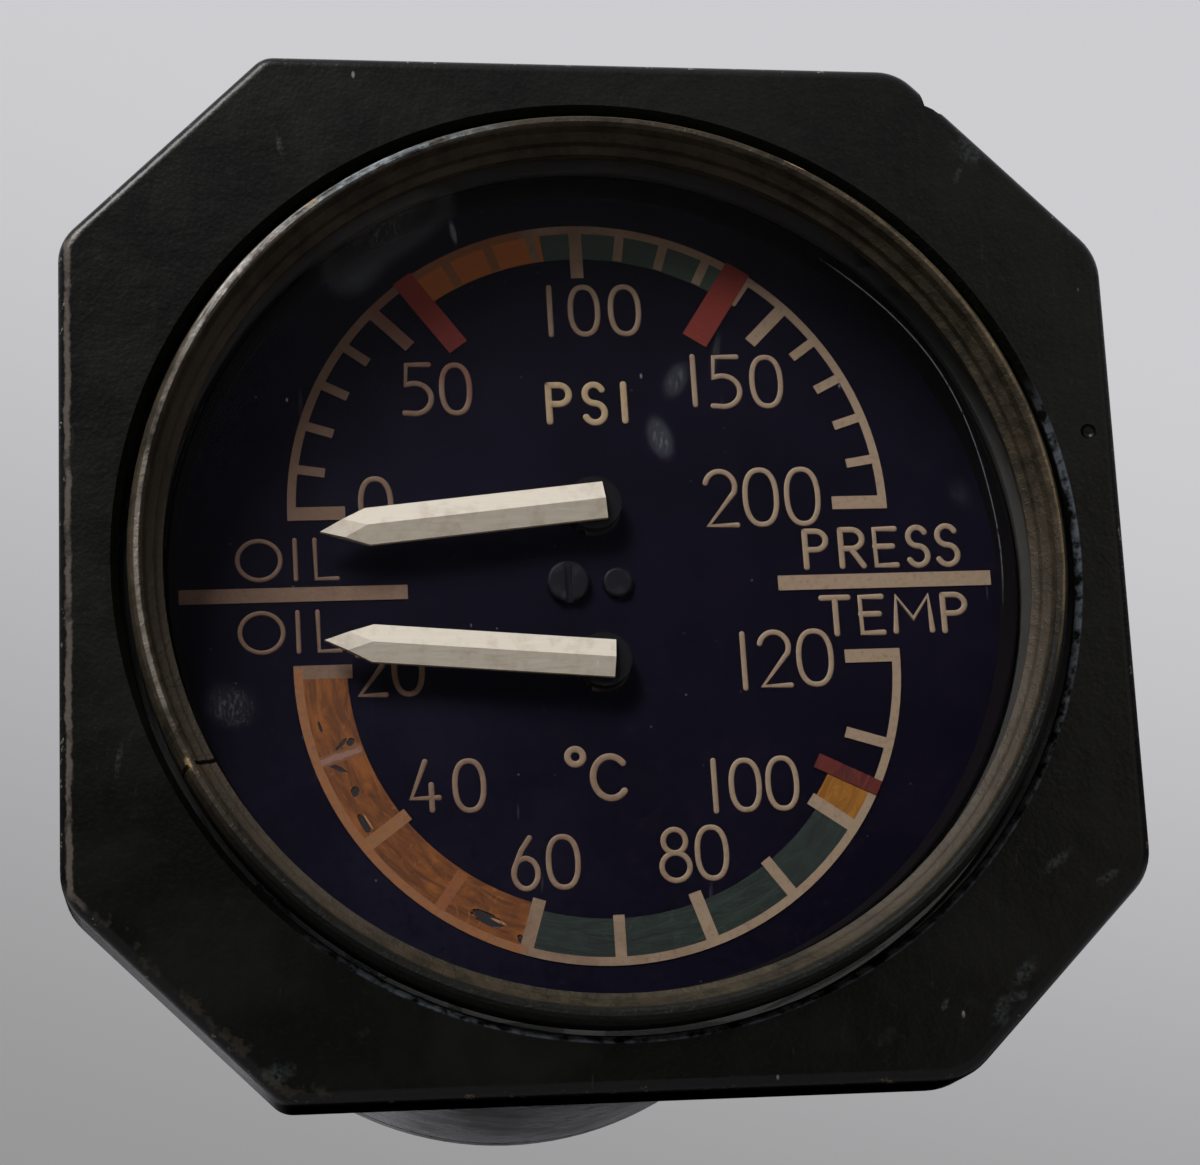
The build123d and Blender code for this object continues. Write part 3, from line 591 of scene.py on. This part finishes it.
at_left = enamel.x.rise(-28.6, -29.2)
at_low_left = (enamel.x + enamel.z).rise(-44.0, -46.5)
front_edge = edge_gap + (ragged - 0.5) * 0.5
# A pale line along the left front edge, part rubbed enamel and part painted highlight.
left_edge_wear_and_highlight = front_edge.rise(0.30, 0.42) * front_edge.rise(0.75, 0.60)
left_edge_wear_and_highlight = left_edge_wear_and_highlight * at_left * (enamel.noise(0.5, 4, 0.7, seed=66).rise(0.36, 0.52) * 0.7 + 0.3)
chips = (edge_gap + (ragged - 0.5) * 2.4).rise(1.05, 0.85)
chips = chips * (edge_gap + (fine - 0.5) * 1.2).rise(0.25, 0.5)
chips = chips * at_low_left * enamel.noise(0.6, 3, 0.6, seed=67).rise(0.47, 0.56)
nicks = (edge_gap + (fine - 0.5) * 0.8).rise(0.35, 0.15)
nicks = nicks * enamel.noise(1.3, 3, 0.7, seed=68).rise(0.60, 0.68)
bruises = [
    (22.6, 24.9, 1.9, 1.2, -40), (21.8, 23.4, 1.2, 0.35, 70), (27.4, -19.0, 1.5, 0.5, 30),
    (24.6, -18.0, 2.0, 0.5, 35), (22.1, -24.3, 1.8, 0.8, 45), (20.7, -26.4, 1.6, 0.9, 70),
    (21.6, -25.6, 1.2, 0.5, 10), (-27.0, -11.2, 1.8, 0.3, 80), (-19.3, -28.6, 2.1, 1.0, 20),
    (-17.8, 24.5, 1.4, 0.3, 100), (17.5, -25.9, 0.7, 0.3, 60),
]
scuff = enamel.noise(0.45, 3, 0.7, seed=69).rise(0.62, 0.80) * 0.25
for bruise in bruises:
    scuff = scuff | (enamel.spot(*bruise, 0.45, 1.4) * fine.rise(0.25, 0.75))
scuff = scuff * on_front
hairlines = (enamel.noise(0.9, 2, stretch=(2.8, 1, 0.3), seed=72).rise(0.70, 0.76)
             | enamel.noise(0.9, 2, stretch=(0.3, 1, 2.4), seed=74).rise(0.72, 0.78)) * ragged.rise(0.4, 0.6)
lint = enamel.specks(0.42, 0.055, seed=4, stretch=(1, 1, 0.45)) * enamel.noise(0.2, 2, seed=70).rise(0.5, 0.6)
# The lip of the recess carries a painted blue-grey highlight, from the right round the bottom to the lower
# left.
lip_radius = enamel.radius()
lip_highlight = lip_radius.rise(27.02, 27.12) * lip_radius.rise(27.50, 27.38)
lip_highlight = lip_highlight * enamel.angle().rise(-2.35, -1.85) * enamel.angle().rise(0.42, 0.25) * ragged.rise(0.38, 0.62)
enamel_colour = enamel.colours(mottle, (0.0015, 0.0017, 0.0013), (0.0030, 0.0032, 0.0024))
enamel_colour = enamel.colours(upright.rise(0.5, 0.75) * 0.4, enamel_colour, (0.0055, 0.0052, 0.0042))
enamel_colour = enamel.colours(fine.rise(0.52, 0.72) * 0.5, enamel_colour, (0.0068, 0.0070, 0.0056))
# Painted shade: the enamel is darker towards the bottom of the bezel, where less light falls.
enamel_colour = enamel.colours(enamel.z.rise(-4.0, -20.0) * 0.6, enamel_colour, (0.0010, 0.0011, 0.0008))
enamel_colour = enamel.colours(hairlines * on_front * 0.35, enamel_colour, (0.022, 0.023, 0.022))
enamel_colour = enamel.colours(scuff * 0.4, enamel_colour, (0.036, 0.042, 0.046))
enamel_colour = enamel.colours(lip_highlight * on_front * 0.85, enamel_colour, (0.078, 0.090, 0.108))
enamel_colour = enamel.colours(left_edge_wear_and_highlight * on_front * 0.5, enamel_colour, (0.15, 0.125, 0.110))
enamel_colour = enamel.colours(chips * on_front * 0.25, enamel_colour, (0.050, 0.042, 0.030))
enamel_colour = enamel.colours((lint | nicks) * on_front * 0.7, enamel_colour, (0.24, 0.23, 0.21))
dress(enamel.surface(
    enamel_colour, 0.26 + mottle * 0.08 + scuff * 0.2, Specular_IOR_Level=0.14,
    Normal=enamel.relief(enamel.noise(0.8, 2, 0.55, seed=71) + fine * 0.4, 0.035),
), "case", "rear_cover")

# Window parts: a dull black mask ring, a rubber seal, and the retaining ring that holds the glass in.
# The retaining ring is bronze, browned and handled, and rubbed on its ridge, whose brighter lines are
# painted highlights. The rear cover's seal and the connector's gasket have the seal's rubber too.
mask = Finish("mask_black")
dull = mask.noise(0.8, 4, seed=73)
dress(mask.surface(
    mask.colours(dull, (0.0025, 0.0020, 0.0030), (0.0060, 0.0050, 0.0055)), 0.8 + dull * 0.15,
    Specular_IOR_Level=0.02, Normal=mask.relief(dull, 0.01)), "mask_ring")

rubber = Finish("seal_rubber")
bloom = rubber.noise(1.0, 4, seed=75)
dress(rubber.surface(
    rubber.colours(bloom, (0.010, 0.010, 0.010), (0.030, 0.029, 0.028)), 0.7 + bloom * 0.15,
    Normal=rubber.relief(bloom, 0.04)), "window_seal", "rear_cover_seal", "connector_gasket")

ring = Finish("bronze_ring")
ring_radius = ring.radius()
ring_angle = ring.angle()
ring_wear = ring.noise(0.5, 3, 0.65, seed=77)
lathe = ring.node("ShaderNodeTexNoise", {}, {
    "Vector": ring.node("ShaderNodeCombineXYZ", {}, {0: ring_radius * 5, 1: ring_angle * 7, 2: 3.0}),
    "Scale": 1.0, "Detail": 3.0, "Roughness": 0.6})
crest = ring_radius.rise(25.70, 25.86) * ring_radius.rise(26.40, 26.24)
# Its inner cone is painted grey at the left and below, and below its outer side is painted black, as painted
# shade in the gap by the bezel.
low_side = ring_angle.rise(-2.75, -2.35) * ring_angle.rise(0.15, -0.35)
left_side = abs(ring_angle).rise(2.40, 2.62)
grey_cone_arc = left_side | ring_angle.rise(-1.95, -2.35) | (
    ring_angle.rise(-1.25, -0.85) * ring_angle.rise(0.25, -0.25))
grey_cone_band = (ring_radius + ring_wear * 0.5).rise(25.85, 25.55) * grey_cone_arc
# Painted shade: the ring's outer side is painted black below, in the gap by the bezel.
painted_gap_shade = ring_radius.rise(25.46, 25.70) * low_side
# Painted highlight: the ridge is painted silver at the upper left, where the light falls on it.
upper_left_highlight = crest * ring_angle.rise(1.70, 2.02) * ring_angle.rise(2.75, 2.50)
rubbed = crest * (lathe * 0.5 + ring_wear * 0.9).rise(0.45, 0.95)
# A thin gold line along the ridge at the right: bare brass and a painted highlight.
gold_crest_and_highlight = abs(ring_radius - 26.02).rise(0.12, 0.05)
gold_crest_and_highlight = gold_crest_and_highlight * ring_angle.rise(-0.35, -0.05) * ring_angle.rise(1.15, 0.70)
flecks = ring.spot(11.9, 23.4, 1.3, 0.28, -27, 0.4, 1.2) | ring.spot(-16.1, 20.6, 0.9, 0.25, 38, 0.4, 1.2)
flecks = flecks | ring.spot(-23.3, -11.8, 0.7, 0.3, -63, 0.4, 1.2)
ring_colour = ring.colours(ring_wear.rise(0.35, 0.65), (0.010, 0.008, 0.005), (0.034, 0.026, 0.016))
handled = ring.noise(1.6, 3, 0.7, seed=78).rise(0.42, 0.68)
ring_colour = ring.colours(handled * 0.5, ring_colour, (0.034, 0.027, 0.014))
ring_colour = ring.colours(grey_cone_band * (ring_wear * 0.8 + 0.30), ring_colour, (0.052, 0.042, 0.032))
ring_colour = ring.colours(rubbed * 0.7, ring_colour, (0.052, 0.042, 0.030))
# Painted highlight: a pale line along the ridge at the left.
left_crest_highlight = abs(ring_radius - 25.98).rise(0.20, 0.08) * left_side
left_crest_highlight = left_crest_highlight * ring.z.rise(-11.0, -7.0) * ring_wear.rise(0.3, 0.6)
ring_colour = ring.colours(left_crest_highlight, ring_colour, (0.150, 0.135, 0.115))
ring_colour = ring.colours(painted_gap_shade, ring_colour, (0.004, 0.004, 0.003))
ring_colour = ring.colours(gold_crest_and_highlight * lathe.rise(0.35, 0.65), ring_colour, (0.115, 0.084, 0.042))
highlight_tint = ring.colours(ring_angle.rise(2.40, 2.15), (0.50, 0.475, 0.46), (0.26, 0.30, 0.33))
ring_colour = ring.colours(upper_left_highlight * (handled * 0.5 + lathe.rise(0.35, 0.6) * 0.5), ring_colour, highlight_tint)
ring_colour = ring.colours(flecks * 0.8, ring_colour, (0.36, 0.25, 0.13))
dress(ring.surface(
    ring_colour, 0.60 - rubbed * 0.1, 0.15, Specular_IOR_Level=0.15,
    Normal=ring.relief(lathe * 0.6 + handled, 0.03)), "retaining_ring")

# Glass: a clear disc with a thin reflection, between its seal and the retaining ring. Old grease and dust
# show as faint smears near its edge and middle, on its outer face.
glass = Finish("window_glass")
wiped_on = glass.noise(2.2, 2, 0.75, stretch=(2.6, 1, 0.8), seed=81)
scratched = wiped_on.rise(0.48, 0.66)
glass.tear = wiped_on - 0.5
smears = [
    (3.53, 7.67, 1.2, 2.2, 15, 0.7), (4.62, 11.2, 1.1, 2.0, -25, 0.45), (7.0, 12.6, 0.4, 2.6, -12, 0.3),
    (-11.9, 20.9, 6.6, 3.4, 35, 0.75), (-13.6, 18.4, 3.6, 2.6, 60, 0.40), (-21.0, -7.9, 2.6, 2.2, -30, 0.24),
    (21.03, 4.19, 1.2, 1.8, 20, 0.12), (-7.95, 20.2, 0.3, 1.2, 10, 0.8),
]
smear = scratched * 0
for x, z, width, height, turn, strength in smears:
    smear = smear | (glass.spot(x, z, width, height, turn, 0.6, 1.2) * strength)
lint_on_glass = glass.specks(0.3, 0.035, seed=6, stretch=(1, 1, 0.5))
# One long hair-fine pale line bows along the right side, from the upper right down to the middle.
glass_angle = glass.angle()
fine_pale_arc_radius = glass_angle.rise(0.15, 0.54) * glass_angle.rise(0.95, 0.54) * 0.32 + 23.22
fine_pale_arc = abs(glass.radius() - fine_pale_arc_radius).rise(0.05, 0.02) * wiped_on.rise(0.30, 0.46)
fine_pale_arc = fine_pale_arc * glass_angle.rise(-0.15, 0.02) * glass_angle.rise(0.98, 0.80)
haze = smear * (scratched * 0.7 + 0.3) * 0.26 + lint_on_glass * 0.20 + fine_pale_arc * 0.16
haze = haze * glass.y.rise(-2.1, -2.6)
dress(glass.surface(
    glass.colours(haze.rise(0.0, 0.05), (0.9, 0.93, 0.95), (0.44, 0.50, 0.58)),
    0.04 + haze.rise(0.0, 0.05) * 0.5, 1 - haze.rise(0.0, 0.05), Alpha=0.003 + haze,
), "window_glass")

# Connector: an anodised shell on a rubber gasket, with a moulded insert, gilt pins and four steel screws.
# The cable plug slides over the shell's plain outer end.
shell = Finish("anodised_shell")
anodising = shell.noise(0.6, 4, seed=91).rise(0.35, 0.7)
dress(shell.surface(
    shell.colours(anodising, (0.20, 0.19, 0.13), (0.30, 0.28, 0.20)), 0.35 + anodising * 0.15, 0.9,
    Normal=shell.relief(shell.noise(1.0, 3, stretch=(1, 6, 1)), 0.01)), "connector_shell")

insert = Finish("insert_moulding")
speckle = insert.noise(3.0, 3, seed=93)
dress(insert.surface(
    insert.colours(speckle, (0.012, 0.012, 0.013), (0.03, 0.03, 0.03)), 0.5 + speckle * 0.2,
    Normal=insert.relief(speckle, 0.02)), "connector_insert")

gilt = Finish("gilt_pin")
wiped = gilt.noise(1.2, 3, stretch=(1, 0.4, 1), seed=95)
dress(gilt.surface(
    gilt.colours(wiped, (0.62, 0.42, 0.14), (0.80, 0.60, 0.26)), 0.2 + wiped * 0.2, 1.0,
    Normal=gilt.relief(wiped, 0.004)), "connector_pins")

zinc = Finish("zinc_screw")
plating = zinc.noise(1.5, 4, seed=97).rise(0.4, 0.7)
dress(zinc.surface(
    zinc.colours(plating, (0.45, 0.45, 0.43), (0.28, 0.26, 0.23)), 0.3 + plating * 0.25, 1.0,
    Normal=zinc.relief(plating, 0.01)), "connector_screws")

# Floor and light: a pale studio floor at the height where the bezel stands, and one large soft lamp
# at the upper left with a weaker one opposite. The floor is seen from above only, and pales with distance.
floor_height = cad_box[0][2]
floor_mesh = bpy.data.meshes.new("studio_floor")
reach = 3.0
floor_mesh.from_pydata(
    [(-reach, -reach, floor_height), (reach, -reach, floor_height),
     (reach, reach, floor_height), (-reach, reach, floor_height)], [], [(0, 1, 2, 3)])
studio_floor = bpy.data.objects.new("studio_floor", floor_mesh)
bpy.context.scene.collection.objects.link(studio_floor)
floor = Finish("pale_floor")
paper = floor.noise(0.02, 3, seed=99)
floor.surface(floor.colours(paper, (0.60, 0.60, 0.64), (0.66, 0.66, 0.70)), 0.8, Specular_IOR_Level=0.1)
bounced = floor.node("ShaderNodeLightPath", output="Is Diffuse Ray")
dim = floor.node("ShaderNodeBsdfDiffuse", {}, {"Color": (0.13, 0.095, 0.07)})
shown_floor = floor.node("ShaderNodeMixShader", {}, {
    0: bounced, 1: Field(floor, floor.shader.outputs[0]), 2: dim})
away = (floor.x ** 2 + floor.y ** 2) ** 0.5
far_off = away.rise(300, 1000) * floor.node("ShaderNodeLightPath", output="Is Camera Ray")
distance_pale = floor.node("ShaderNodeEmission", {}, {"Color": (0.34, 0.337, 0.345)})
shown_floor = floor.node("ShaderNodeMixShader", {}, {0: far_off, 1: shown_floor, 2: distance_pale})
from_below = floor.node("ShaderNodeNewGeometry", output="Backfacing")
clear = floor.node("ShaderNodeBsdfTransparent")
one_sided = floor.node("ShaderNodeMixShader", {}, {0: from_below, 1: shown_floor, 2: clear})
floor.fill(floor.tree.nodes["Material Output"].inputs["Surface"], one_sided)
studio_floor.data.materials.append(floor.material)

scene = bpy.context.scene
scene.view_settings.view_transform = "Standard"
scene.world = bpy.data.worlds.new("studio")
scene.world.use_nodes = True
sky = Tree(scene.world.node_tree)
scene.world.node_tree.nodes.clear()
seen_by = {kind: sky.node("ShaderNodeLightPath", output=kind)
           for kind in ("Is Camera Ray", "Is Glossy Ray", "Is Transmission Ray")}
direction = sky.node("ShaderNodeTexCoord", output="Generated")
to_right = sky.node("ShaderNodeSeparateXYZ", {}, {0: direction}, 0)
upward = sky.node("ShaderNodeSeparateXYZ", {}, {0: direction}, 2)
backdrop = sky.node("ShaderNodeMix", {"data_type": "RGBA"}, {
    0: (upward + to_right * 0.32).rise(0.05, 0.45), 6: (0.310, 0.307, 0.312), 7: (0.615, 0.612, 0.635)}, 2)
room = sky.node("ShaderNodeMix", {"data_type": "RGBA"}, {
    0: upward.rise(0.12, 0.60), 6: (0.006, 0.006, 0.005), 7: (0.78, 0.80, 0.84)}, 2)
shown = sky.node("ShaderNodeBackground", {}, {"Color": backdrop, "Strength": 1.0})
lighting = sky.node("ShaderNodeBackground", {}, {"Color": (0.85, 0.90, 1.0), "Strength": 0.06})
mirrored = sky.node("ShaderNodeBackground", {}, {"Color": room, "Strength": 1.0})
fill_or_mirror = sky.node("ShaderNodeMixShader", {}, {0: seen_by["Is Glossy Ray"], 1: lighting, 2: mirrored})
is_shown = seen_by["Is Camera Ray"] | seen_by["Is Transmission Ray"]
everything = sky.node("ShaderNodeMixShader", {}, {0: is_shown, 1: fill_or_mirror, 2: shown})
sky.node("ShaderNodeOutputWorld", {}, {"Surface": everything})

for name, place, size, power, colour in [
    ("window_light", (-0.30, -0.42, 0.58), 0.30, 8.5, (1.0, 0.985, 0.965)),
    ("weak_fill", (0.45, -0.60, 0.10), 0.5, 0.5, (1.0, 0.88, 0.78)),
]:
    lamp = bpy.data.lights.new(name, "AREA")
    lamp.size = size
    lamp.energy = power
    lamp.color = colour
    lamp_object = bpy.data.objects.new(name, lamp)
    lamp_object.location = place
    lamp_object.rotation_euler = (Vector((0, 0, 0)) - Vector(place)).to_track_quat("-Z", "Y").to_euler()
    scene.collection.objects.link(lamp_object)

# Camera: below and to the left of the dial, as in the photograph. Its place, turn, lens and shift were
# fitted to the outline of the octagon and to the circles of the ring and the dial.
camera_data = bpy.data.cameras.new("camera")
camera_data.sensor_width = 36
camera_data.lens = 89.537
camera_data.shift_x = -0.13855
camera_data.shift_y = 0.12103
camera_data.clip_start = 0.01
camera = bpy.data.objects.new("camera", camera_data)
camera.location = (-0.021200, -0.164458, -0.047989)
camera.rotation_euler = Euler([math.radians(angle) for angle in (103.1719, 3.2584, -9.7329)])
scene.collection.objects.link(camera)
scene.camera = camera
